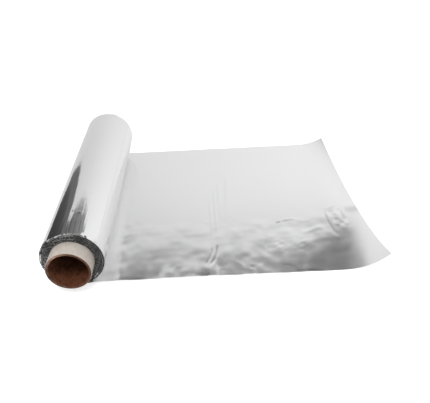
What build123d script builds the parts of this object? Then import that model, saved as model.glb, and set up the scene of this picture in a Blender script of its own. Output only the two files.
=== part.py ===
from build123d import *
from math import sqrt
import os

os.makedirs("parts", exist_ok=True)

# A catering roll of aluminium foil on its card core, lying on a table with a length pulled out.
# +X follows the pulled-out sheet, +Y the roll and +Z points up from the table.
# The origin is on the table, at the middle of the line where the roll rests.
# The photograph looks at the -Y end, which is called the near end here.

# Card core
core_diameter = 48.0
core_wall = 3.0
core_overhang = 19.2  # past the foil, at each end
core_edge_break = 0.4

# Foil web: the wound turns and the sheet are one strip of foil
foil_width = 300.0
wound_depth = 10.5  # of foil on the core
rest_flat_width = 6.0  # the roll's own weight flattens it by this much
sheet_thickness = 0.3

# Turns: a spiral relief on both ends, because the edges of the turns don't line up
turn_pitch = 1.15
turn_gap = 0.35
turn_relief = 0.4
turn_land = 0.6  # left whole inside the first gap and outside the last

# Free end of the sheet: its two corners curl up with the set that the roll gave them
curl_start = 288.0  # from the resting line
curl_run = 57.0  # from the curl's start to the near corner, seen from above
corner_lift = 20.3  # of the near corner
edge_run_shares = (1.0, 0.97, 0.92, 0.85, 0.82, 0.81, 0.74)  # near to far, of curl_run
edge_lift_shares = (1.0, 0.1, 0.0, 0.0, 0.0, 0.05, 0.5)  # near to far, of corner_lift
curl_run_shares = (0.0, 1 / 3, 2 / 3, 1.0)  # out to the free edge
curl_lift_shares = (0.0, 0.0, 0.0, 1.0)  # flat at the start, steepest at the edge

core_radius = core_diameter / 2
core_length = foil_width + 2 * core_overhang
roll_radius = core_radius + wound_depth
axis_height = sqrt(roll_radius**2 - (rest_flat_width / 2) ** 2)
turn_growth = turn_pitch / 2  # what each half turn adds to the radius


def curl_point(across, along):
    """One control point of the curled end: across counts from near to far, along from the roll outwards."""
    last = len(edge_run_shares) - 1
    return (
        curl_start + curl_run * edge_run_shares[across] * curl_run_shares[along],
        foil_width * (across / last - 1 / 2),
        corner_lift * edge_lift_shares[across] * curl_lift_shares[along],
    )


def turn_arcs():
    """A spiral of half turns about two centres: up on the sheet's side, then down on the other."""
    radius = core_radius + turn_land
    while radius + turn_pitch < roll_radius - turn_land:
        for side in (1, -1):
            centre = axis_height + side * turn_growth / 2
            CenterArc((0, centre), radius, -90 * side, 180)
            radius += turn_growth


# Foil web
with BuildPart() as foil_web:
    with BuildSketch(Plane.XZ) as web_section:
        with Locations((0, axis_height)):
            Circle(roll_radius)
        Rectangle(rest_flat_width, sheet_thickness, align=(Align.CENTER, Align.MAX), mode=Mode.SUBTRACT)
        Rectangle(curl_start, sheet_thickness, align=(Align.MIN, Align.MIN))
        with Locations((0, axis_height)):
            Circle(core_radius, mode=Mode.SUBTRACT)
    extrude(amount=foil_width / 2, both=True)

    curl_net = [
        [curl_point(across, along) for along in range(len(curl_run_shares))]
        for across in range(len(edge_run_shares))
    ]
    curled_end = Face.make_bezier_surface(curl_net)
    thicken(curled_end, amount=sheet_thickness, normal_override=(0, 0, 1))

    for end in (1, -1):
        with BuildSketch(Plane.XZ.offset(end * foil_width / 2)) as turn_gaps:
            with BuildLine():
                turn_arcs()
            trace(line_width=turn_gap)
        extrude(amount=-end * turn_relief, mode=Mode.SUBTRACT)
foil_web.part.label = "foil_web"
export_step(foil_web.part, "parts/foil_web.step")

# Card core
with BuildPart() as card_core:
    with BuildSketch(Plane.XZ) as tube_section:
        with Locations((0, axis_height)):
            Circle(core_radius)
            Circle(core_radius - core_wall, mode=Mode.SUBTRACT)
    extrude(amount=core_length / 2, both=True)
    cut_ends = card_core.faces().filter_by(Axis.Y)
    chamfer(cut_ends.edges(), length=core_edge_break)
card_core.part.label = "card_core"
export_step(card_core.part, "parts/card_core.step")
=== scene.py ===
import bpy
import math
import numpy as np
from mathutils import Matrix, Vector


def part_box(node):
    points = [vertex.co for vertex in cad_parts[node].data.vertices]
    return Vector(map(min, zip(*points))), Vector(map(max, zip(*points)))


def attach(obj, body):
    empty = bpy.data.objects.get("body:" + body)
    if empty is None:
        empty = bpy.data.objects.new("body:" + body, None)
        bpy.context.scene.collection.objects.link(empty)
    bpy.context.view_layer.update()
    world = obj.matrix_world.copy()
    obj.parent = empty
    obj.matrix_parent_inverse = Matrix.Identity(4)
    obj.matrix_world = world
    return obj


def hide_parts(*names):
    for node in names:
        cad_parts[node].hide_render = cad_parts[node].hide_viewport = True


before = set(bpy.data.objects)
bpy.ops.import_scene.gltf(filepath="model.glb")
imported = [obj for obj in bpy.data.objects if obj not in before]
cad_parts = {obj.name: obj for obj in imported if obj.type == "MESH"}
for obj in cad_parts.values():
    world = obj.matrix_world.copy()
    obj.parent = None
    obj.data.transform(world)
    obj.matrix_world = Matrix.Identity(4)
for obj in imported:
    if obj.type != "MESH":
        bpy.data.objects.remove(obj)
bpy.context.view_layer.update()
print("Frame loaded with", ", ".join(sorted(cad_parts)))

# An aluminium foil roll on its card core, with a length pulled out on the table.
# Everything is in metres; +X follows the sheet, +Y the roll, and the near end is at -Y.
mm = 0.001
webLow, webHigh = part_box("foil_web")
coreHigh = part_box("card_core")[1]
rollRadius = -webLow.x
axisHeight = webHigh.z - rollRadius
foilHalf = webHigh.y
coreRadius = coreHigh.x
coreHalf = coreHigh.y
noiseSpan = (0.3, 0.7)  # most of a noise texture's values lie between these


# Small tools for nodes and meshes

def feed(tree, node, inputs):
    for name, value in inputs.items():
        if isinstance(value, bpy.types.Node):
            value = value.outputs[0]
        if isinstance(value, bpy.types.NodeSocket):
            tree.links.new(value, node.inputs[name])
        else:
            node.inputs[name].default_value = value


def addNode(tree, kind, inputs=None, **settings):
    node = tree.nodes.new(kind)
    for name, value in settings.items():
        setattr(node, name, value)
    feed(tree, node, inputs or {})
    return node


def shade(tree, kind, inputs=None, **settings):
    return addNode(tree, "ShaderNode" + kind, inputs, **settings)


def calculate(tree, operation, *values):
    return shade(tree, "Math", dict(enumerate(values)), operation=operation)


def remap(tree, value, span, levels=(0.0, 1.0)):
    return shade(tree, "MapRange", dict(enumerate((value, *span, *levels))))


def mixColours(tree, share, first, second):  # by number, because a Mix node's socket names repeat
    return shade(tree, "Mix", {0: share, 6: first, 7: second}, data_type="RGBA").outputs[2]


def addNoise(tree, place, detail, scale=1.0, roughness=0.5, **settings):
    inputs = {"Vector": place, "Scale": scale, "Detail": detail, "Roughness": roughness}
    return shade(tree, "TexNoise", inputs, **settings)


def addBump(tree, height, strength, distance):
    return shade(tree, "Bump", {"Height": height, "Strength": strength, "Distance": distance})


def newMaterial(name):
    material = bpy.data.materials.new(name)
    material.use_nodes = True
    tree = material.node_tree
    return material, tree, tree.nodes["Principled BSDF"]


def setRamp(node, stops):
    ramp = node.color_ramp
    while len(ramp.elements) < len(stops):
        ramp.elements.new(0.5)  # for now: every stop is placed below
    for element, (place, level) in zip(ramp.elements, stops):
        element.position = place
        element.color = (level, level, level, 1.0)


def smoothStep(values, low, high):
    share = np.clip((values - low) / (high - low), 0.0, 1.0)
    return share * share * (3.0 - 2.0 * share)


def within(values, low, high, border):
    return smoothStep(values, low - border, low) * (1 - smoothStep(values, high, high + border))


rippleWaves = {
    "count": 14,
    "paces": (0.7, 1.4),  # slowest and fastest, in half waves for each cell
    "spread": 2.65,  # of their sum
}


def ripple(x, y, zone, random, sharp=False):
    left, right, near, far, border, cellX, cellY, height = zone
    noise = np.zeros_like(x)
    for wave in range(rippleWaves["count"]):
        direction, phase = random.uniform(0, 2 * math.pi, 2)
        pace = random.uniform(*rippleWaves["paces"]) * math.pi
        across = x / cellX * math.cos(direction) + y / cellY * math.sin(direction)
        noise += np.sin(pace * across + phase)
    noise /= rippleWaves["spread"]
    inside = within(x, left, right, border) * within(y, near, far, border)
    return height * inside * (1.0 - np.abs(noise) if sharp else noise)


foldFade = 0.25  # share of a fold's length over which it fades out, at each end


def fold(x, y, line):
    points, wide, height = line
    nearest = np.full_like(x, np.inf)
    share = np.zeros_like(x)
    lengths = [math.dist(a, b) for a, b in zip(points, points[1:])]
    done = 0.0
    for (ax, ay), (bx, by), length in zip(points, points[1:], lengths):
        ux, uy = (bx - ax) / length, (by - ay) / length
        along = np.clip((x - ax) * ux + (y - ay) * uy, 0, length)
        distance = np.hypot(x - ax - along * ux, y - ay - along * uy)
        closer = distance < nearest
        nearest = np.where(closer, distance, nearest)
        share = np.where(closer, (done + along) / sum(lengths), share)
        done += length
    fade = within(share, foldFade, 1 - foldFade, foldFade)
    return height * fade * np.exp(-0.5 * (nearest / wide) ** 2)


def creaseShadeDepth(x, y, creaseShades):
    depth = np.zeros_like(x)
    for line in creaseShades:
        depth = np.maximum(depth, fold(x, y, line))
    return depth


def gridFaces(rows, columns, start=0, flip=False, closed=False):
    steps = columns if closed else columns - 1
    row, column = np.meshgrid(np.arange(rows - 1), np.arange(steps), indexing="ij")
    following = (column + 1) % columns
    faces = np.stack([
        row * columns + column,
        row * columns + following,
        (row + 1) * columns + following,
        (row + 1) * columns + column,
    ], axis=-1).reshape(-1, 4) + start
    return faces[:, ::-1] if flip else faces


def aboutAxis(radius, angle, along):
    return np.stack([radius * np.cos(angle), along, axisHeight + radius * np.sin(angle)], axis=-1)


def meshPiece(name, points, faces, materials, faceMaterial=None, sharpAngle=35.0):
    mesh = bpy.data.meshes.new(name)
    mesh.from_pydata(points.tolist(), [], faces.tolist())
    for material in materials:
        mesh.materials.append(material)
    if faceMaterial is not None:
        mesh.polygons.foreach_set("material_index", faceMaterial)
    mesh.polygons.foreach_set("use_smooth", np.ones(len(mesh.polygons), dtype=bool))
    mesh.set_sharp_from_angle(angle=math.radians(sharpAngle))
    mesh.update()
    piece = bpy.data.objects.new(name, mesh)
    bpy.context.scene.collection.objects.link(piece)
    return piece


# stores how far the foil's colour is darkened as painted shade along the creases
def markCreaseShade(piece, depths):
    creaseShade = piece.data.attributes.new("creaseShade", "FLOAT", "POINT")
    creaseShade.data.foreach_set("value", depths.reshape(-1))


# Camera, at the photograph's place

cameraView = {
    "place": (0.1519, -0.579, 0.386),
    "turn": -0.47,  # degrees about Z
    "tilt": 56.3,  # degrees up from straight down
    "roll": -2.63,
    "focalPixels": 516.2,  # in a frame 430 pixels wide
    "frameWidthPixels": 430,
    "sensorWidth": 36.0,
}


def makeCamera():
    data = bpy.data.cameras.new("camera")
    data.sensor_width = cameraView["sensorWidth"]
    data.lens = cameraView["focalPixels"] / cameraView["frameWidthPixels"] * cameraView["sensorWidth"]
    camera = bpy.data.objects.new("camera", data)
    camera.matrix_world = (
        Matrix.Translation(cameraView["place"])
        @ Matrix.Rotation(math.radians(cameraView["turn"]), 4, "Z")
        @ Matrix.Rotation(math.radians(cameraView["tilt"]), 4, "X")
        @ Matrix.Rotation(math.radians(cameraView["roll"]), 4, "Z")
    )
    bpy.context.scene.collection.objects.link(camera)
    bpy.context.scene.camera = camera


makeCamera()
print("Camera placed")


# Studio: a white table, a bright sweep behind it and dark card round the sweep

studio = {
    "floorSize": 8.0,
    "floorColour": 0.62,
    "floorCameraLift": 0.62,  # brings the open floor up to white for the camera
    "floorFoilLift": (0.0, 0.2),  # what foil sees on top of the lit floor, left and right of the roll
    "floorFoilFrom": (-0.05, 0.10),
    "sweepY": 0.70,
    # x and z of its left edge, from the top down
    "sweepLeft": (
        (-0.335, 0.622), (-0.345, 0.57), (-0.36, 0.50), (-0.37, 0.41),
        (-0.39, 0.31), (-0.42, 0.20), (-0.455, 0.10), (-0.47, 0),
    ),
    "sweepRight": 0.74,
    "wallRight": 1.6,  # past the sweep the room is greyer
    "wallLevels": (0.65, 0.5),
    "sweepArch": ((0.60, 0.60), (0.42, 0.62), (0.15, 0.635), (-0.10, 0.63)),  # x and z of its top edge
    "sweepRises": 0.70,  # x up to where its level rises from the left one to the right one
    "sweepLevels": (0.74, 1.05),
    # x and y of the bent card that stands to the left of the roll, from its back end to its front end
    "flagFoot": (
        (-0.47, 0.70), (-0.43, 0.59), (-0.33, 0.42), (-0.26, 0.30),
        (-0.215, 0.20), (-0.205, 0.10), (-0.20, -0.9),
    ),
    "flagBackLeft": -0.9,
    "flagGap": 0.002,  # between the sweep and the part of the flag that stands behind it
    "flagTop": 0.90,
    "flagFrom": (0.05, 0.45),  # y where its level starts and ends to rise
    "flagLevels": (0.042, 0.15),
    "upperTop": 1.5,
    "upperSplit": 0.42,  # x of the edge between its two cards
    "upperLeftLevels": (0.14, 0.30),
    "upperRightLevels": (0.27, 0.125),
    "upperRightFade": 0.10,
    "daylight": (0.75, 1.1),  # from the front and from behind
    "daylightFrom": (-0.9, 0.3),  # Y of the directions where it starts and ends to rise
    # height from 0 flat to 1 straight up, and level, of the room that foil mirrors past the cards
    "roomBands": ((0.0, 0.85), (0.35, 0.9), (0.55, 0.35), (0.75, 0.3), (0.9, 0.85), (1.0, 0.9)),
    "lampPlace": (0.05, -0.80, 1.25),
    "lampSize": 0.4,
    "lampPower": 9.0,
}


def makeFloor():
    material, tree, surface = newMaterial("table white")
    ray = shade(tree, "LightPath").outputs
    place = shade(tree, "SeparateXYZ", {0: shade(tree, "TexCoord").outputs["Object"]}).outputs
    side = remap(tree, place["X"], studio["floorFoilFrom"], studio["floorFoilLift"])
    mirrored = calculate(tree, "MAXIMUM", ray["Is Glossy Ray"], ray["Is Transmission Ray"])
    foil = calculate(tree, "MULTIPLY", mirrored, side)
    camera = calculate(tree, "MULTIPLY", ray["Is Camera Ray"], studio["floorCameraLift"])
    feed(tree, surface, {
        "Base Color": (studio["floorColour"],) * 3 + (1.0,),
        "Roughness": 1.0,
        "Specular IOR Level": 0.0,
        "Emission Color": (1.0, 1.0, 1.0, 1.0),
        "Emission Strength": calculate(tree, "MAXIMUM", camera, foil),
    })
    half = studio["floorSize"] / 2
    corners = np.array([(-half, -half, 0), (half, -half, 0), (half, half, 0), (-half, half, 0)], dtype=float)
    floor = meshPiece("floor", corners, np.array([[0, 1, 2, 3]]), [material])


def makePanel(name, corners, axis, span, levels, faces=None):
    material, tree, surface = newMaterial(name + " card")
    tree.nodes.remove(surface)
    place = shade(tree, "SeparateXYZ", {0: shade(tree, "TexCoord").outputs["Object"]}).outputs
    glow = shade(tree, "Emission", {"Strength": remap(tree, place[axis], span, levels)})
    feed(tree, tree.nodes["Material Output"], {"Surface": glow})
    faces = np.arange(len(corners))[None] if faces is None else faces
    card = meshPiece(name, np.array(corners, dtype=float), faces, [material])
    card.visible_camera = False
    card.visible_diffuse = False
    card.visible_shadow = False
    card.visible_transmission = False


def makeStudio():
    makeFloor()
    back, right, wallRight = studio["sweepY"], studio["sweepRight"], studio["wallRight"]
    leftEdge = [(x, back, z) for x, z in studio["sweepLeft"]]
    arch = [(x, back, z) for x, z in studio["sweepArch"]]
    left, endTop = leftEdge[0][0], arch[0][2]
    sweep = [leftEdge[-1], (right, back, 0), (right, back, endTop), *arch, *leftEdge[:-1]]
    makePanel("sweep", sweep, "X", (left, studio["sweepRises"]), studio["sweepLevels"])
    wall = [(right, back, 0), (wallRight, back, 0), (wallRight, back, endTop), (right, back, endTop)]
    makePanel("right_wall", wall, "X", (right, wallRight), studio["wallLevels"])

    behind, flagLeft, top = back + studio["flagGap"], studio["flagBackLeft"], studio["flagTop"]
    backFlag = [(flagLeft, behind, 0), (left, behind, 0), (left, behind, top), (flagLeft, behind, top)]
    makePanel("back_flag", backFlag, "Y", studio["flagFrom"], studio["flagLevels"])
    foot = studio["flagFoot"]
    leftFlag = [(x, y, z) for z in (0, top) for x, y in foot]
    makePanel("left_flag", leftFlag, "Y", studio["flagFrom"], studio["flagLevels"], gridFaces(2, len(foot)))

    split, upperTop = studio["upperSplit"], studio["upperTop"]
    leftUpper = [leftEdge[0]] + [corner for corner in arch[::-1] if corner[0] <= split]
    leftUpper += [(split, back, upperTop), (left, back, upperTop)]
    rightUpper = [corner for corner in arch[::-1] if corner[0] >= split]
    rightUpper += [(wallRight, back, endTop), (wallRight, back, upperTop), (split, back, upperTop)]
    makePanel("upper_left_flag", leftUpper, "X", (left, split), studio["upperLeftLevels"])
    fade = (split, split + studio["upperRightFade"])
    makePanel("upper_right_flag", rightUpper, "X", fade, studio["upperRightLevels"])


def makeWorld():
    world = bpy.data.worlds.new("studio")
    bpy.context.scene.world = world
    world.use_nodes = True
    tree = world.node_tree
    tree.nodes.clear()
    white = (1.0, 1.0, 1.0, 1.0)
    ray = shade(tree, "LightPath").outputs
    direction = shade(tree, "SeparateXYZ", {0: shade(tree, "TexCoord").outputs["Generated"]}).outputs
    daylight = remap(tree, direction["Y"], studio["daylightFrom"], studio["daylight"])
    plain = shade(tree, "Background", {"Color": white, "Strength": daylight})
    bands = shade(tree, "ValToRGB", {0: direction["Z"]})
    setRamp(bands, studio["roomBands"])
    room = shade(tree, "Background", {"Color": bands, "Strength": 1.0})
    backdrop = shade(tree, "Background", {"Color": white, "Strength": 1.0})
    mirrored = calculate(tree, "MAXIMUM", ray["Is Glossy Ray"], ray["Is Transmission Ray"])
    around = shade(tree, "MixShader", {0: mirrored, 1: plain, 2: room})
    surface = shade(tree, "MixShader", {0: ray["Is Camera Ray"], 1: around, 2: backdrop})
    shade(tree, "OutputWorld", {"Surface": surface})


def makeLamp():
    light = bpy.data.lights.new("soft lamp", "AREA")
    light.size = studio["lampSize"]
    light.energy = studio["lampPower"]
    lamp = bpy.data.objects.new("soft lamp", light)
    place = Vector(studio["lampPlace"])
    lamp.matrix_world = Matrix.Translation(place) @ (-place).to_track_quat("-Z", "Y").to_matrix().to_4x4()
    lamp.visible_glossy = False
    bpy.context.scene.collection.objects.link(lamp)


makeStudio()
makeWorld()
makeLamp()
print("Studio set up")


# Foil finishes

foilFinish = {
    # colour, roughness, strength of the rolling lines, share by which the roughness varies, metal
    "bright": ((0.81, 0.81, 0.815, 1.0), 0.09, 0.05, 0.15, 1.0),
    "matte": ((0.86, 0.86, 0.865, 1.0), 0.21, 0.012, 0.04, 1.0),
    "lips": ((0.86, 0.86, 0.865, 1.0), 0.38, 0.05, 0.15, 0.55),  # crumpled, so they scatter light
    "lineScale": (6.0, 1400.0, 6.0),  # rolling lines run along the web, so they are fine across it
    "lineDepth": 0.05 * mm,
    "streakScale": (9.0, 260.0, 9.0),
    "streakDepth": 0.012,
    # painted shade: the colour the foil darkens to along its creases
    "creaseShadeColour": (0.16, 0.16, 0.16, 1.0),
}


def makeFoil(name, colour, roughness, lineBump, spread, metal):
    material, tree, surface = newMaterial(name)
    place = shade(tree, "TexCoord").outputs["Object"]
    fine = shade(tree, "Mapping", {"Vector": place, "Scale": foilFinish["lineScale"]})
    lines = addNoise(tree, fine, detail=3.0, roughness=0.6)
    wide = shade(tree, "Mapping", {"Vector": place, "Scale": foilFinish["streakScale"]})
    streaks = addNoise(tree, wide, detail=4.0, roughness=0.7)
    dim = tuple(channel * (1 - foilFinish["streakDepth"]) for channel in colour[:3]) + (1.0,)
    tone = mixColours(tree, remap(tree, streaks, noiseSpan), dim, colour)
    # painted shade along the creases, read from the mesh
    creaseShade = shade(tree, "Attribute", attribute_name="creaseShade").outputs["Fac"]
    shine = (roughness * (1 - spread), roughness * (1 + spread))
    feed(tree, surface, {
        "Base Color": mixColours(tree, creaseShade, tone, foilFinish["creaseShadeColour"]),
        "Metallic": metal,
        "Roughness": remap(tree, lines, noiseSpan, shine),
        "Normal": addBump(tree, lines, lineBump, foilFinish["lineDepth"]),
    })
    return material


# The roll's ends are painted with light and shade: dark where they lie in shade, with pale arcs, glints and a
# lighter top and left where light falls on them
edgeFinish = {
    "paintedShadeColour": (0.06, 0.063, 0.061, 1.0),
    "paintedLightColour": (0.64, 0.64, 0.645, 1.0),
    "ringScale": 1500.0,  # rings for each metre of radius
    "aroundScale": 1.6,
    "glintScale": 520.0,
    "roughness": (0.28, 0.55),
    "bump": 0.6,
    "bumpDepth": 0.2 * mm,
    "toneRange": (0.20, 0.36),  # values of the mixed noises that turn to painted shade and to painted light
    # degrees about the axis and share of the painted light colour: painted lighter at the top and left of the
    # ends, painted shade towards the right
    "litSectors": (
        (-180, 0.78), (-90, 0.50), (0, 0.30), (45, 0.25), (62, 0.18), (80, 0.52),
        (96, 1.0), (118, 0.95), (132, 0.55), (150, 0.48), (180, 0.78),
    ),
    "litSectorTone": 1.35,
}


def makeEdgeFoil():
    material, tree, surface = newMaterial("foil turn edges")
    place = shade(tree, "TexCoord").outputs["Object"]
    centred = shade(tree, "Mapping", {"Vector": place, "Location": (0, 0, -axisHeight)})
    split = shade(tree, "SeparateXYZ", {0: centred}).outputs
    flat = shade(tree, "CombineXYZ", {"X": split["X"], "Z": split["Z"]})
    radius = shade(tree, "VectorMath", {0: flat}, operation="LENGTH").outputs["Value"]
    angle = calculate(tree, "ARCTAN2", split["Z"], split["X"])
    ringed = calculate(tree, "MULTIPLY", radius, edgeFinish["ringScale"])
    around = calculate(tree, "MULTIPLY", angle, edgeFinish["aroundScale"])
    polar = shade(tree, "CombineXYZ", {"X": ringed, "Y": around})
    rings = addNoise(tree, polar, detail=3.0, roughness=0.65)
    glints = addNoise(tree, place, detail=4.0, scale=edgeFinish["glintScale"])
    both = calculate(tree, "MULTIPLY", rings, glints)
    # painted light and shade by angle about the axis
    litSectors = shade(tree, "ValToRGB", {0: remap(tree, angle, (-math.pi, math.pi))})
    setRamp(litSectors, [(degrees / 360 + 0.5, pale) for degrees, pale in edgeFinish["litSectors"]])
    side = calculate(tree, "MULTIPLY", litSectors, edgeFinish["litSectorTone"])
    share = calculate(tree, "MULTIPLY", remap(tree, both, edgeFinish["toneRange"]), side)
    feed(tree, surface, {
        "Base Color": mixColours(tree, share, edgeFinish["paintedShadeColour"], edgeFinish["paintedLightColour"]),
        "Metallic": 1.0,
        "Roughness": remap(tree, glints, noiseSpan, edgeFinish["roughness"]),
        "Normal": addBump(tree, both, edgeFinish["bump"], edgeFinish["bumpDepth"]),
    })
    return material


brightFoil = makeFoil("foil bright side", *foilFinish["bright"])
matteFoil = makeFoil("foil matte side", *foilFinish["matte"])
lipFoil = makeFoil("foil lips", *foilFinish["lips"])
edgeFoil = makeEdgeFoil()
print("Foil finishes made")


# Wound roll

woundRoll = {
    "around": 720,
    "endRings": (0, 0.25, 0.6, 1.0, 1.5, 2.2, 3.0, 4.0, 5.5),  # in mm from each end
    "middleRings": 84,
    "middleFrom": 8.0 * mm,  # from each end
    "endStep": 0.6 * mm,  # how far the turns stand out of the roll's ends
    "skin": 0.15 * mm,  # thickness of the outer turn, seen on the ends
    "boreGap": 0.03 * mm,  # round the core
    "seed": 7,
    # count around and height in mm: streaks that run along the roll
    "streaks": ((5, 0.030), (11, 0.022), (23, 0.010), (41, 0.0055), (67, 0.003), (97, 0.0024), (131, 0.0016)),
    "streakFade": (0.5, 2.0),  # how much and how fast they grow and fade along the roll
    "streakBend": (0.35, 1.7),  # how much and how fast they wander round it
    # from and to around and along, soft border, cell around and along, height, all in mm
    "mottles": (
        (-200, 200, -150, 150, 1, 26, 34, 0.030),
        (-200, 200, -150, 150, 1, 9, 6, 0.0035),
        (36, 60, -150, -96, 8, 1.7, 60, 0.022),
        (36, 60, -150, -90, 8, 0.9, 30, 0.006),
        (40, 75, -150, -60, 10, 3.2, 60, 0.010),
    ),
    # angle in degrees, along, half width around and along, height, all in mm
    "nicks": (
        (91, -108, 1.2, 0.9, -0.05),
        (79, -111, 2.4, 0.7, 0.05),
        (84, -116, 1.0, 0.8, -0.04),
        (62, -149, 1.5, 1.6, 0.35),
        (58, -149.5, 1.2, 1.2, -0.30),
    ),
    # painted shade along creases, darkening the foil's colour: points around and along in mm, half width,
    # depth from 0 to 1
    "creaseShades": (
        (((56.0, -106), (54.5, -108.6), (51.5, -108.0)), 0.6, 0.75),
        (((50.0, -112.5), (47.5, -111.0), (45.5, -112.0)), 0.5, 0.60),
        (((51.5, -152), (52.2, -136), (53.0, -118)), 0.5, 0.45),
        (((54.6, -152), (55.4, -134), (56.4, -120)), 0.4, 0.35),
        (((46.8, -152), (47.4, -138), (48.4, -122)), 0.6, 0.30),
        (((41.0, -152), (42.6, -134), (44.6, -110)), 0.5, 0.30),
    ),
    "rimCrumple": (0.22, 3.0),  # height and how far in from the end, in mm
    "rimCrumpleAngles": (72, 138, 10),  # from and to and soft border, in degrees
    "rimCrumpleElsewhere": 0.12,  # share of its height at the other angles
    "rimWaves": (-200, 200, -150, 150, 1, 1.9, 1.6, 1.0),  # as a mottle
    "rimWavesMean": 0.6,
}


def upFromBelow(angle):  # counts on from straight down round to straight down
    return (angle + math.pi / 2) % (2 * math.pi) - math.pi / 2


def rollRelief(angle, along):
    random = np.random.default_rng(woundRoll["seed"])
    lift = np.zeros_like(angle)
    fade, fadePace = woundRoll["streakFade"]
    bend, bendPace = woundRoll["streakBend"]
    for count, height in woundRoll["streaks"]:
        phase, drift = random.uniform(0, 2 * math.pi, 2)
        slow = 1.0 + fade * np.sin(along / foilHalf * fadePace + drift)
        sway = bend * np.sin(along / foilHalf * bendPace + drift)
        lift += height * slow * np.sin(count * angle + phase + sway)
    up = upFromBelow(angle)
    turned, around, place = np.degrees(up), up * rollRadius / mm, along / mm
    for zone in woundRoll["mottles"]:
        lift += ripple(around, place, zone, random)
    for turn, centre, wide, long, height in woundRoll["nicks"]:
        off = (turned - turn) * math.radians(1) * rollRadius / mm
        lift += height * np.exp(-0.5 * ((off / wide) ** 2 + ((place - centre) / long) ** 2))
    height, reach = woundRoll["rimCrumple"]
    faint = woundRoll["rimCrumpleElsewhere"]
    waves = ripple(around, place, woundRoll["rimWaves"], random, sharp=True) - woundRoll["rimWavesMean"]
    near = smoothStep(-place, foilHalf / mm - reach, foilHalf / mm)
    sector = within(turned, *woundRoll["rimCrumpleAngles"])
    lift += height * near * (faint + (1 - faint) * sector) * waves
    return lift * mm


def makeFoilRoll():
    around, middleEnd = woundRoll["around"], foilHalf - woundRoll["middleFrom"]
    nearRings = -foilHalf + np.array(woundRoll["endRings"]) * mm
    middleRings = np.linspace(-middleEnd, middleEnd, woundRoll["middleRings"])
    alongs = np.concatenate([nearRings, middleRings, -nearRings[::-1]])
    angles = np.linspace(0, 2 * math.pi, around, endpoint=False)
    angle, along = np.meshgrid(angles, alongs)
    lift = rollRelief(angle, along)
    rings = [aboutAxis(rollRadius + lift, angle, along)]

    # The closing rings: into the recess of the far end, back through the bore and out at the near end
    nearSkin, farSkin = rollRadius - woundRoll["skin"] + lift[0], rollRadius - woundRoll["skin"] + lift[-1]
    end = foilHalf - woundRoll["endStep"]
    inner = coreRadius + woundRoll["boreGap"]
    for radius, y in (
        (farSkin, foilHalf),
        (farSkin, end),
        (inner, end),
        (inner, -end),
        (nearSkin, -end),
        (nearSkin, -foilHalf),
    ):
        rings.append(aboutAxis(radius, angles, np.full(around, y))[None])
    points = np.concatenate(rings).reshape(-1, 3)
    points[:, 2] = np.maximum(points[:, 2], 0.0)
    count = len(points) // around
    faces = gridFaces(count + 1, around, closed=True) % len(points)
    faceMaterial = np.repeat(np.arange(count) >= len(alongs) - 1, around).astype(int)
    piece = meshPiece("foil_roll", points, faces, [brightFoil, edgeFoil], faceMaterial)
    marks = np.zeros((count, around))
    marks[:len(alongs)] = creaseShadeDepth(upFromBelow(angle) * rollRadius / mm, along / mm, woundRoll["creaseShades"])
    markCreaseShade(piece, marks)
    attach(piece, "root")
    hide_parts("foil_web")


makeFoilRoll()
print("Foil roll wound")


# Turn edges: the foil's edges on both ends, as one strip wound from the core out

turnEdges = {
    "pitch": 0.25 * mm,
    "thick": 0.17 * mm,
    "tall": 0.9 * mm,  # along the roll
    "uneven": 0.35 * mm,  # how far the turns stand in and out
    "clearance": 0.1 * mm,  # from the core
    "turnScale": 1.7,  # of the noise that shifts whole turns
    "patchScale": 90.0,  # of the noise that shifts patches of them, for each metre
    "stepsPerTurn": 90,
    "seeds": {"near": 3, "far": 8},
}


def turnEdgeTree():
    tree = bpy.data.node_groups.new("wound turns", "GeometryNodeTree")
    for name, kind in (
        ("Turns", "Float"),
        ("Steps Per Turn", "Int"),
        ("Inner Radius", "Float"),
        ("Outer Radius", "Float"),
        ("Thick", "Float"),
        ("Tall", "Float"),
        ("Uneven", "Float"),
        ("Seed", "Float"),
        ("Finish", "Material"),
    ):
        tree.interface.new_socket(name, in_out="INPUT", socket_type="NodeSocket" + kind)
    tree.interface.new_socket("Geometry", in_out="OUTPUT", socket_type="NodeSocketGeometry")
    given = addNode(tree, "NodeGroupInput").outputs
    spiral = addNode(tree, "GeometryNodeCurveSpiral", {
        "Resolution": given["Steps Per Turn"],
        "Rotations": given["Turns"],
        "Start Radius": given["Inner Radius"],
        "End Radius": given["Outer Radius"],
        "Height": 0.0,
        "Reverse": False,
    })
    factor = addNode(tree, "GeometryNodeSplineParameter").outputs["Factor"]
    turn = calculate(tree, "MULTIPLY", factor, given["Turns"])
    pick = shade(tree, "CombineXYZ", {"X": turn, "Y": given["Seed"]})
    perTurn = addNoise(tree, pick, detail=2.0, scale=turnEdges["turnScale"], noise_dimensions="2D")
    place = addNode(tree, "GeometryNodeInputPosition")
    patch = addNoise(tree, place, detail=3.0, scale=turnEdges["patchScale"], noise_dimensions="4D")
    feed(tree, patch, {"W": given["Seed"]})
    centred = calculate(tree, "SUBTRACT", calculate(tree, "ADD", perTurn, patch), 1.0)
    amount = calculate(tree, "MULTIPLY", centred, given["Uneven"])
    shift = shade(tree, "CombineXYZ", {"Z": amount})
    uneven = addNode(tree, "GeometryNodeSetPosition", {"Geometry": spiral, "Offset": shift})
    sides = {"Width": given["Thick"], "Height": given["Tall"]}
    profile = addNode(tree, "GeometryNodeCurvePrimitiveQuadrilateral", sides)
    swept = {"Curve": uneven, "Profile Curve": profile, "Fill Caps": True}
    strip = addNode(tree, "GeometryNodeCurveToMesh", swept)
    real = addNode(tree, "GeometryNodeRealizeInstances", {0: strip})
    finished = addNode(tree, "GeometryNodeSetMaterial", {"Geometry": real, "Material": given["Finish"]})
    addNode(tree, "NodeGroupOutput", {0: finished})
    return tree


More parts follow.
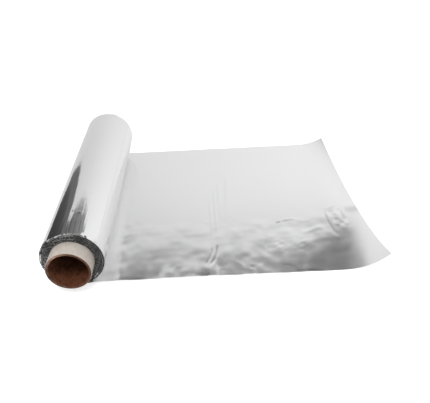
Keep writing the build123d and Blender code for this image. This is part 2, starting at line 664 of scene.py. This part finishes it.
def runTree(name, tree, values):
    holder = bpy.data.objects.new(name, bpy.data.meshes.new(name))
    bpy.context.scene.collection.objects.link(holder)
    modifier = holder.modifiers.new("nodes", "NODES")
    modifier.node_group = tree
    for item in tree.interface.items_tree:
        if item.in_out == "INPUT":
            modifier[item.identifier] = values[item.name]
    graph = bpy.context.evaluated_depsgraph_get()
    mesh = bpy.data.meshes.new_from_object(holder.evaluated_get(graph))
    mesh.name = name
    holder.modifiers.remove(modifier)
    holder.data = mesh
    return holder


def makeTurnEdges():
    tree = turnEdgeTree()
    half = turnEdges["thick"] / 2
    inner = coreRadius + half + turnEdges["clearance"]
    outer = rollRadius - half - woundRoll["skin"]
    turns = round((outer - inner) / turnEdges["pitch"])
    for end, sign in (("near", -1), ("far", 1)):
        piece = runTree("turn_edges_" + end, tree, {
            "Turns": float(turns),
            "Steps Per Turn": turnEdges["stepsPerTurn"],
            "Inner Radius": inner,
            "Outer Radius": outer,
            "Thick": turnEdges["thick"],
            "Tall": turnEdges["tall"],
            "Uneven": turnEdges["uneven"],
            "Seed": float(turnEdges["seeds"][end]),
            "Finish": edgeFoil,
        })
        place = Matrix.Translation((0, sign * (foilHalf - turnEdges["tall"] / 2), axisHeight))
        piece.data.transform(place @ Matrix.Rotation(math.radians(90), 4, "X"))
        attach(piece, "root")


makeTurnEdges()
print("Turn edges wound")


# Lips: stretches of single turns that have slid out of the roll's ends or are bent over there

turnLips = {
    "thick": 0.08 * mm,
    "stepDegrees": 0.5,
    "waves": 8,
    "paces": (40, 260),  # slowest and fastest wave, for each radian
    "wander": 0.5,  # share of the reach
    "edgeWander": 0.12,  # of the tip inwards and outwards, in mm
    "fade": 0.18,  # share of a stretch over which it rises, at each of its ends
    "steps": (-0.3, 0.0, 0.4, 0.75, 1.0),  # from its root: in mm inside the roll, then shares of the reach
    "seed": 12,
    # end, angle from and to in degrees, radius, reach out of the end, flare outwards, in mm
    "stretches": (
        (-1, 121, 130, 34.1, 1.2, -0.5),
        (-1, 115, 119, 33.8, 0.5, -0.2),
        (-1, 104, 112, 34.0, 1.4, -0.6),
        (-1, 98, 103, 34.2, 0.7, -0.3),
        (-1, 90, 96, 34.1, 0.6, -0.2),
        (-1, 82, 90, 34.3, 0.5, 0.2),
        (-1, 96, 112, 33.1, 0.7, 0.2),
        (-1, 76, 93, 32.4, 0.8, 0.1),
        (-1, 86, 99, 31.2, 0.4, 0.1),
        (-1, 101, 116, 28.6, 1.0, 0.4),
        (-1, 74, 98, 28.2, 0.6, 0.2),
        (-1, 56, 66, 34.2, 1.4, 0.9),
        (-1, 40, 52, 34.3, 0.4, 0.3),
        (-1, 148, 157, 33.3, 0.6, 0.5),
        (-1, 162, 181, 32.2, 0.9, 1.4),
        (-1, -52, -45, 31.8, 0.8, 0.6),
        (-1, -44, -38, 31.0, 0.7, 0.6),
        (-1, -30, 10, 32.4, 0.3, 0.1),
        (-1, 190, 260, 33.2, 0.4, 0.2),
        (1, 20, 120, 32.6, 0.7, 0.2),
        (1, 150, 260, 29.6, 0.5, 0.1),
        (1, -60, 5, 33.6, 0.8, 0.5),
        (1, 60, 78, 34.1, 1.1, 0.6),
    ),
}


def makeTurnLips():
    random = np.random.default_rng(turnLips["seed"])
    steps = np.array(turnLips["steps"])[:, None]
    rise = np.clip(steps, 0, 1)
    rows, waves, border = len(steps), turnLips["waves"], turnLips["fade"]
    layers = []
    faces = []
    done = 0
    for end, start, finish, radius, reach, flare in turnLips["stretches"]:
        count = int((finish - start) / turnLips["stepDegrees"]) + 1
        share = np.linspace(0, 1, count)
        angle = np.radians(start + (finish - start) * share)
        fade = within(share, border, 1 - border, border)
        wander = np.zeros(count)
        for wave in range(waves):
            pace, phase = random.uniform(*turnLips["paces"]), random.uniform(0, 2 * math.pi)
            wander += np.sin(pace * angle + phase) * 2 / waves
        out = reach * fade * (1 + turnLips["wander"] * wander)
        along = end * (foilHalf + np.where(steps < 0, steps, steps * out) * mm)
        low = (radius + flare * rise**2 * fade + turnLips["edgeWander"] * rise * wander * fade) * mm
        outside = aboutAxis(low + turnLips["thick"], angle, along)
        inside = aboutAxis(low, angle, along)
        layers.append(np.concatenate([outside, inside[::-1]]).reshape(-1, 3))
        size = 2 * rows * count
        loop = gridFaces(2 * rows + 1, count) % size
        caps = []
        for edge in (0, count - 1):
            for row in range(rows - 1):
                a, b = row * count + edge, (row + 1) * count + edge
                c, d = (2 * rows - 2 - row) * count + edge, (2 * rows - 1 - row) * count + edge
                caps.append([a, b, c, d] if edge else [d, c, b, a])
        block = np.concatenate([loop, np.array(caps)])
        faces.append((block if end < 0 else block[:, ::-1]) + done)
        done += size
    points = np.concatenate(layers)
    piece = meshPiece("turn_lips", points, np.concatenate(faces), [lipFoil], sharpAngle=50.0)
    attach(piece, "root")


makeTurnLips()
print("Lips bent over")


# Pulled-out sheet: it floats a little over the table, with soft billows, creases and crumples

foilSheet = {
    "thick": 0.15 * mm,
    "cutLength": 350.3 * mm,  # flat, along the near edge; the far edge is 332 mm
    "cutArea": 0.1015,  # square metres, flat
    "curlStart": 288.0 * mm,
    "curlRun": 57.0 * mm,
    "cornerLift": 20.3 * mm,
    "runShares": (1.0, 0.97, 0.92, 0.85, 0.82, 0.81, 0.74),  # near to far, of curlRun
    "liftShares": (1.0, 0.1, 0.0, 0.0, 0.0, 0.05, 0.5),  # near to far, of cornerLift
    # x from and to, and the step between columns, all in mm: finer where the creases are
    "columnSteps": ((0, 40, 2.5), (40, 142, 1.6), (142, 162, 0.7), (162, 228, 1.5), (228, 288, 1.3)),
    "curlColumns": 48,
    "nearRows": 120,
    "farRows": 64,
    "nearBand": 120.0 * mm,  # how far from the near edge the finer rows go
    "curlPower": 2.6,  # how late the curled end rises
    "float": 0.15,  # over the table, in mm
    "reliefFrom": (7, 22),  # x over which the relief starts beside the roll, in mm
    "swellBlend": (-14, 26),  # y about a swell's centre where its width turns to the far one, in mm
    "seed": 21,
    # broad rises: centre x, y, half length, half width towards the near and the far edge, height, all in mm
    "swells": (
        (297, -84, 12, 30, 90, 1.40),
        (276, -66, 10, 16, 30, 0.28),
        (254, -124, 11, 24, 18, 0.28),
        (282, -106, 9, 24, 50, 0.28),
        (313, -44, 10, 25, 70, 0.84),
        (94, -84, 17, 13, 20, 0.28),
        (20, -150, 14, 30, 80, 0.74),
        (46, -146, 8, 20, 30, 0.47),
        (48, -99, 9, 14, 13, -0.17),
        (60, -130, 20, 24, 38, 0.84),
        (62, -104, 24, 24, 16, 0.20),
        (108, -142, 20, 30, 44, 0.93),
        (146, -134, 18, 32, 50, 1.16),
        (192, -136, 28, 28, 38, 0.79),
        (236, -126, 18, 26, 34, 0.47),
        (262, -124, 14, 12, 32, 0.51),
        (148, -112, 10, 26, 16, 0.20),
        (184, -92, 10, 12, 16, 0.19),
        (180, -111, 10, 18, 13, -0.23),
        (128, -99, 12, 16, 14, -0.20),
        (224, -99, 9, 9, 9, 0.09),
        (322, 30, 16, 70, 80, 0.56),
    ),
    # stretches of the near edge that turn up: x from and to, soft border, where it starts, height at the edge
    "edgeRises": (
        (-30, 46, 24, -86, 0.65),
        (48, 222, 12, -112, 0.40),
        (78, 94, 7, -126, 0.45),
        (94, 110, 7, -108, 0.50),
        (118, 131, 6, -118, 0.65),
        (147, 153, 5, -110, 0.75),
        (186, 195, 6, -118, 0.60),
    ),
    # small dents and bumps: centre x, y, half length, half width, turn in degrees, height
    "dents": (
        (47, -66, 6, 3.5, 25, 0.05),
        (62, -56, 12, 6, 0, 0.06),
        (98, -139, 5, 4, 0, 0.08),
        (121, -138, 4, 4, 0, 0.07),
        (138, -140, 7, 6, 10, 0.28),
        (193, -106, 5, 16, 0, 0.15),
        (218, -85, 8, 6, 0, 0.08),
        (195, -138, 2.2, 2.0, 0, -0.16),
        (200, -140, 6, 5, 0, 0.15),
        (226, -134, 8, 6, 0, 0.15),
        (246, -66, 14, 5, 0, -0.08),
        (262, -101, 5, 4, 25, 0.05),
        (275, -96, 5, 4, -20, -0.05),
        (287, -92, 6, 4, 15, 0.05),
        (309, -58, 5, 4, 0, 0.05),
        (313, -76, 7, 8, 0, 0.20),
        (334, -30, 7, 7, 20, 0.25),
    ),
    # points along it, half width, height: a ridge is positive and a valley negative
    "folds": (
        (((150, 30), (149, -20), (151, -112)), 1.6, 0.10),
        (((155, 40), (156, -20), (157, -114)), 1.6, 0.12),
        (((161, 60), (161, 0), (162, -60)), 1.8, 0.08),
        (((176, 80), (172, 20), (170, -45)), 2.6, 0.12),
        (((190, 55), (184, 30), (176, 5)), 2.5, 0.10),
        (((156.5, -94), (155, -108), (152, -122), (146, -136)), 1.4, -0.26),
        (((150.5, -98), (149, -110), (146, -122), (141, -135)), 1.4, -0.13),
        (((236, -53), (247, -50), (260, -51)), 1.6, 0.05),
        (((255, -54), (266, -56), (277, -55)), 2.5, 0.06),
        (((256, -81), (273, -75), (290, -68)), 3.0, 0.12),
        (((295, -26), (297, -62), (303, -98)), 1.6, -0.13),
        (((302, -34), (309, -31), (316, -35)), 2.0, 0.08),
        (((314, -32), (317, -47), (315, -63)), 1.6, -0.09),
        (((303, -35), (304, -52), (308, -66)), 2.2, -0.07),
        (((306, -40), (310, -48), (307, -58)), 1.8, 0.08),
        (((176, -124), (186, -139), (198, -150)), 2.2, 0.10),
        (((222, -138), (242, -141), (266, -144)), 1.3, 0.02),
    ),
    # painted shade along fine creases, darkening the foil's colour: points along it, half width, depth from 0
    # to 1
    "creaseShades": (
        (((156, -96), (155, -110), (152, -122), (147, -132)), 0.9, 0.34),
        (((151, -98), (149, -110), (146, -120), (142, -129)), 0.8, 0.24),
        (((149, 20), (149, -30), (151, -90)), 0.9, 0.03),
        (((154, 40), (155, -20), (157, -85)), 0.9, 0.04),
        (((160, 60), (161, 0), (163, -60)), 1.2, 0.03),
        (((174, 70), (171, 20), (170, -30)), 1.4, 0.03),
        (((231, -56), (234, -55), (238, -53)), 1.2, 0.45),
        (((238, -53), (246, -51), (256, -50)), 0.9, 0.28),
        (((256, -52), (266, -56), (276, -57)), 1.4, 0.10),
        (((264, -82), (272, -78), (284, -70)), 2.2, 0.16),
        (((296, -36), (297, -62), (301, -90)), 0.9, 0.34),
        (((316, -38), (318, -50), (316, -62)), 1.4, 0.16),
        (((303, -62), (309, -65), (316, -61)), 1.8, 0.18),
        (((302, -34), (307, -30), (314, -29)), 1.2, 0.18),
        (((306, -44), (309, -50), (307, -57)), 1.2, 0.14),
        (((320, -37), (331, -38), (344, -32)), 5.0, 0.16),
        (((326, -44), (334, -41), (343, -41)), 2.0, 0.12),
        (((308, -76), (313, -78), (318, -74)), 1.8, 0.14),
        (((226, -136), (236, -137), (244, -142)), 1.4, 0.28),
        (((238, -147), (254, -147), (276, -148)), 1.0, 0.45),
        (((186, -132), (190, -141), (196, -148)), 1.3, 0.15),
        (((192, -136), (195, -140), (197, -137)), 0.9, 0.30),
        (((128, -146), (138, -147), (148, -149)), 2.0, 0.30),
        (((46, -148), (58, -148), (74, -149)), 2.0, 0.25),
        (((40, -74), (46, -69), (53, -65)), 1.8, 0.12),
        (((40, -90), (37, -124), (37, -160), (37, -176)), 5.0, 0.14),
        (((95, -146), (101, -143), (108, -146)), 1.5, 0.12),
        (((117, -138), (121, -141), (120, -147)), 1.2, 0.12),
    ),
    # soft ripples: x from and to, y from and to, soft border, cell along and across, height, all in mm
    "ripples": (
        (40, 290, -170, -60, 25, 28, 34, 0.05),
        (82, 236, -170, -122, 16, 10, 15, 0.06),
        (158, 262, -150, -76, 24, 11, 30, 0.06),
        (40, 290, -170, -75, 20, 7, 10, 0.010),
        (302, 320, -66, -30, 7, 6, 9, 0.04),
        (255, 306, -140, -98, 10, 9, 15, 0.03),
        (60, 330, -40, 150, 25, 50, 70, 0.05),
        (214, 262, -111, -91, 5, 2.6, 5.0, 0.014),
        (26, 58, -170, -40, 8, 8, 11, 0.05),
        (44, 290, -170, -56, 20, 15, 19, 0.035),
        (44, 300, -170, -50, 20, 6, 8, 0.010),
    ),
    # sharp crumples, in the same form
    "crumples": (
        (85, 235, -170, -132, 10, 8, 14, 0.03),
        (40, 290, -170, -70, 20, 18, 30, 0.02),
    ),
}


def swell(x, y, spot):
    centreX, centreY, long, nearWide, farWide, height = spot
    start, end = foilSheet["swellBlend"]
    wide = nearWide + (farWide - nearWide) * smoothStep(y, centreY + start, centreY + end)
    return height * np.exp(-0.5 * (((x - centreX) / long) ** 2 + ((y - centreY) / wide) ** 2))


def dent(x, y, spot):
    centreX, centreY, long, wide, turn, height = spot
    cosine, sine = math.cos(math.radians(turn)), math.sin(math.radians(turn))
    along = (x - centreX) * cosine + (y - centreY) * sine
    across = (y - centreY) * cosine - (x - centreX) * sine
    return height * np.exp(-0.5 * ((along / long) ** 2 + (across / wide) ** 2))


def sheetRelief(x, y):
    x, y = x / mm, y / mm
    random = np.random.default_rng(foilSheet["seed"])
    relief = np.full_like(x, foilSheet["float"])
    for spot in foilSheet["swells"]:
        relief += swell(x, y, spot)
    for spot in foilSheet["dents"]:
        relief += dent(x, y, spot)
    for start, end, border, foot, height in foilSheet["edgeRises"]:
        inside = within(x, start, end, border)
        relief += height * inside * np.clip((foot - y) / (foot + foilHalf / mm), 0, 1) ** 2
    for line in foilSheet["folds"]:
        relief += fold(x, y, line)
    for zone in foilSheet["ripples"]:
        relief += ripple(x, y, zone, random)
    for zone in foilSheet["crumples"]:
        relief += ripple(x, y, zone, random, sharp=True)
    return np.maximum(relief * smoothStep(x, *foilSheet["reliefFrom"]), 0.0) * mm


def bernstein(shares, share):
    degree = len(shares) - 1
    return sum(
        value * math.comb(degree, i) * share**i * (1 - share) ** (degree - i)
        for i, value in enumerate(shares)
    )


def makeFoilSheet():
    band = -foilHalf + foilSheet["nearBand"]
    near = np.linspace(-foilHalf, band, foilSheet["nearRows"], endpoint=False)
    across = np.concatenate([near, np.linspace(band, foilHalf, foilSheet["farRows"])])
    flat = np.concatenate([np.arange(*steps) for steps in foilSheet["columnSteps"]]) * mm
    curl = np.linspace(0, 1, foilSheet["curlColumns"])
    share = (across / foilHalf + 1) / 2
    run = foilSheet["curlRun"] * bernstein(foilSheet["runShares"], share)[:, None]
    lift = foilSheet["cornerLift"] * bernstein(foilSheet["liftShares"], share)[:, None]
    laid = np.broadcast_to(flat, (len(across), len(flat)))
    x = np.concatenate([laid, foilSheet["curlStart"] + run * curl], axis=1)
    y = np.broadcast_to(across[:, None], x.shape)
    z = np.concatenate([np.zeros(laid.shape), lift * curl ** foilSheet["curlPower"]], axis=1)
    z = z + sheetRelief(x, y)
    rows, columns = x.shape
    top = np.stack([x, y, z + foilSheet["thick"]], axis=-1).reshape(-1, 3)
    bottom = np.stack([x, y, z], axis=-1).reshape(-1, 3)
    points = np.concatenate([top, bottom])
    upper = gridFaces(rows, columns)
    lower = gridFaces(rows, columns, start=rows * columns, flip=True)
    index = np.arange(rows * columns).reshape(rows, columns)
    border = np.concatenate([index[0, :-1], index[:-1, -1], index[-1, :0:-1], index[:0:-1, 0]])
    following = np.roll(border, -1)
    rim = np.stack([border, border + rows * columns, following + rows * columns, following], axis=-1)
    faces = np.concatenate([upper, lower, rim])
    faceMaterial = np.repeat([0, 1, 0], [len(upper), len(lower), len(rim)])
    piece = meshPiece("foil_sheet", points, faces, [matteFoil, brightFoil], faceMaterial, sharpAngle=60.0)
    markCreaseShade(piece, np.tile(creaseShadeDepth(x / mm, y / mm, foilSheet["creaseShades"]).reshape(-1), 2))
    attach(piece, "root")
    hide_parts("foil_web")
    flat = (2 * foilHalf, foilSheet["cutLength"])


makeFoilSheet()
print("Sheet laid out")


# Card core

cardCore = {
    "wall": 3.0 * mm,
    "around": 240,
    "alongRings": 120,
    "seamPitch": 92.0 * mm,  # one turn of the wound strip, along the core
    "seamStep": 0.12 * mm,
    "seamWidth": 0.5 * mm,
    "plyStep": 0.10 * mm,
    "plySteps": (0.0, 1.0, 0.2, 0.9, 0.1, 0.8, 0.3),  # how deep each ply's cut edge lies, from outside in
    "plySlope": 0.04 * mm,  # on each side of the step between two plies
    "boreEdge": 0.3 * mm,  # from the cut to the first ring of the bore
    "rimRound": 0.45 * mm,
    "rimWear": 0.16 * mm,
    "wearReach": 2.5 * mm,
    "wearWaves": range(2, 26),  # waves for each time round
    "wearHeights": (0.3, 1.0),
    "wearPower": 0.7,
    "wearShares": (0.5, 0.35),  # mean and swing, of rimWear
    "flareAngle": 112.0,  # degrees about the axis, where the cut edge is pushed outwards
    "flareSpread": 26.0,
    "flareReach": 0.35 * mm,
    "flareLength": 4.0 * mm,  # how far in from the near end
    "seed": 5,
}

cardFinish = {
    "paperColours": ((0.472, 0.433, 0.392, 1.0), (0.410, 0.370, 0.326, 1.0)),
    "boardColours": ((0.160, 0.061, 0.032, 1.0), (0.072, 0.024, 0.010, 1.0)),
    "cutColours": ((0.170, 0.082, 0.052, 1.0), (0.045, 0.022, 0.014, 1.0)),
    "cutLitColour": (0.42, 0.27, 0.20, 1.0),  # painted light on the upper-left of the cut edge, in a pale paper tone
    "litLean": (-0.55, 0.0, 0.84),
    "litFrom": (0.008, 0.024),  # metres above the axis along that lean
    "litRange": (0.25, 0.6),  # values of its share times the mottle that turn to the painted light colour
    "roughness": 0.82,
    "specular": 0.25,
    "toneRange": (0.15, 0.36),  # values of the mixed noises between the two colours
    "mottleScale": 160.0,
    "fibreScale": (900.0, 260.0, 900.0),
    "fibreBump": 0.35,
    "fibreDepth": 0.06 * mm,
}


def makeCard(name, colours, wearAndPaintedLight=False):
    material, tree, surface = newMaterial(name)
    place = shade(tree, "TexCoord").outputs["Object"]
    mottle = addNoise(tree, place, detail=6.0, scale=cardFinish["mottleScale"])
    stretch = shade(tree, "Mapping", {"Vector": place, "Scale": cardFinish["fibreScale"]})
    fibre = addNoise(tree, stretch, detail=4.0)
    tone = remap(tree, calculate(tree, "MULTIPLY", mottle, fibre), cardFinish["toneRange"])
    colour = mixColours(tree, tone, *colours)
    # painted light: the upper-left of the cut edge, which faces the light, is painted paler
    if wearAndPaintedLight:
        lean, (low, high) = cardFinish["litLean"], cardFinish["litFrom"]
        middle = lean[2] * axisHeight
        above = shade(tree, "VectorMath", {0: place, 1: lean}, operation="DOT_PRODUCT").outputs["Value"]
        share = remap(tree, above, (middle + low, middle + high))
        patchy = remap(tree, calculate(tree, "MULTIPLY", share, mottle), cardFinish["litRange"])
        colour = mixColours(tree, patchy, colour, cardFinish["cutLitColour"])
    feed(tree, surface, {
        "Base Color": colour,
        "Roughness": cardFinish["roughness"],
        "Specular IOR Level": cardFinish["specular"],
        "Normal": addBump(tree, fibre, cardFinish["fibreBump"], cardFinish["fibreDepth"]),
    })
    return material


paleCard = makeCard("core outer paper", cardFinish["paperColours"])
brownCard = makeCard("core board", cardFinish["boardColours"])
# the cut edge gets painted light on its upper-left
cutCard = makeCard("core cut edge", cardFinish["cutColours"], wearAndPaintedLight=True)


def seamLift(angle, along):
    turn = along / cardCore["seamPitch"] + angle / (2 * math.pi)
    share = (turn - np.floor(turn)) * cardCore["seamPitch"]
    width = cardCore["seamWidth"]
    return -cardCore["seamStep"] * (1 - smoothStep(share, 0.0, width)) * (share < width)


# Half of the tube's outline, from the far rim's rounding to the bore, as radius, y and kind:
# 0 is the pale outside, 1 the cut edge and 2 the brown bore
def coreRim():
    rim, slope = cardCore["rimRound"], cardCore["plySlope"]
    bend = [math.radians(a) for a in (30, 60, 90)]
    outline = [(coreRadius - rim * (1 - math.cos(a)), coreHalf - rim * (1 - math.sin(a)), 0) for a in bend]
    plies = len(cardCore["plySteps"])
    for ply, step in enumerate(cardCore["plySteps"]):
        y = coreHalf - cardCore["plyStep"] * step
        high = coreRadius - rim - (cardCore["wall"] - rim) * ply / plies
        low = coreRadius - rim - (cardCore["wall"] - rim) * (ply + 1) / plies
        outline += [(high - slope, y, 1), (low + slope, y, 1)]
    return outline


def makeCardCore():
    around, rings = cardCore["around"], cardCore["alongRings"]
    random = np.random.default_rng(cardCore["seed"])
    inner = coreRadius - cardCore["wall"]
    outer, bore = coreHalf - cardCore["rimRound"], coreHalf - cardCore["boreEdge"]
    farRim = coreRim()
    profile = [(coreRadius, y, 0) for y in np.linspace(-outer, outer, rings)] + farRim
    profile += [(inner, y, 2) for y in np.linspace(bore, -bore, rings)]
    profile += [(r, -y, kind) for r, y, kind in reversed(farRim)]
    radii, alongs, kinds = (np.array(column) for column in zip(*profile))
    angles = np.linspace(0, 2 * math.pi, around, endpoint=False)
    angle, along = np.meshgrid(angles, alongs)
    side = np.select([kinds == 0, kinds == 2], [1.0, -1.0], 0.0)[:, None]
    wear = np.zeros(around)
    for wave in cardCore["wearWaves"]:
        phase, height = random.uniform(0, 2 * math.pi), random.uniform(*cardCore["wearHeights"])
        wear += np.sin(wave * angles + phase) * height / wave ** cardCore["wearPower"]
    endness = smoothStep(np.abs(along), coreHalf - cardCore["wearReach"], coreHalf)
    nearness = smoothStep(-along, coreHalf - cardCore["flareLength"], coreHalf)
    turned = (angle - math.radians(cardCore["flareAngle"]) + math.pi) % (2 * math.pi) - math.pi
    swing = np.degrees(np.abs(turned)) / cardCore["flareSpread"]
    flare = cardCore["flareReach"] * nearness * np.exp(-0.5 * swing**2)
    radius = radii[:, None] + side * seamLift(angle, along) + flare
    mean, spread = cardCore["wearShares"]
    # real wear of the rim's cut, as a shift along the axis
    wearAndPaintedLight = endness * cardCore["rimWear"] * np.clip(mean + spread * wear, 0, 1)
    points = aboutAxis(radius, angle, along - np.sign(along) * wearAndPaintedLight).reshape(-1, 3)
    faces = gridFaces(len(profile) + 1, around, closed=True) % len(points)
    ringKind = np.where(kinds == np.roll(kinds, -1), kinds, 1)
    piece = meshPiece("card_tube", points, faces, [paleCard, cutCard, brownCard], np.repeat(ringKind, around))
    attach(piece, "root")
    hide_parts("card_core")


makeCardCore()
print("Card core made")

bpy.context.scene.view_settings.view_transform = "Standard"
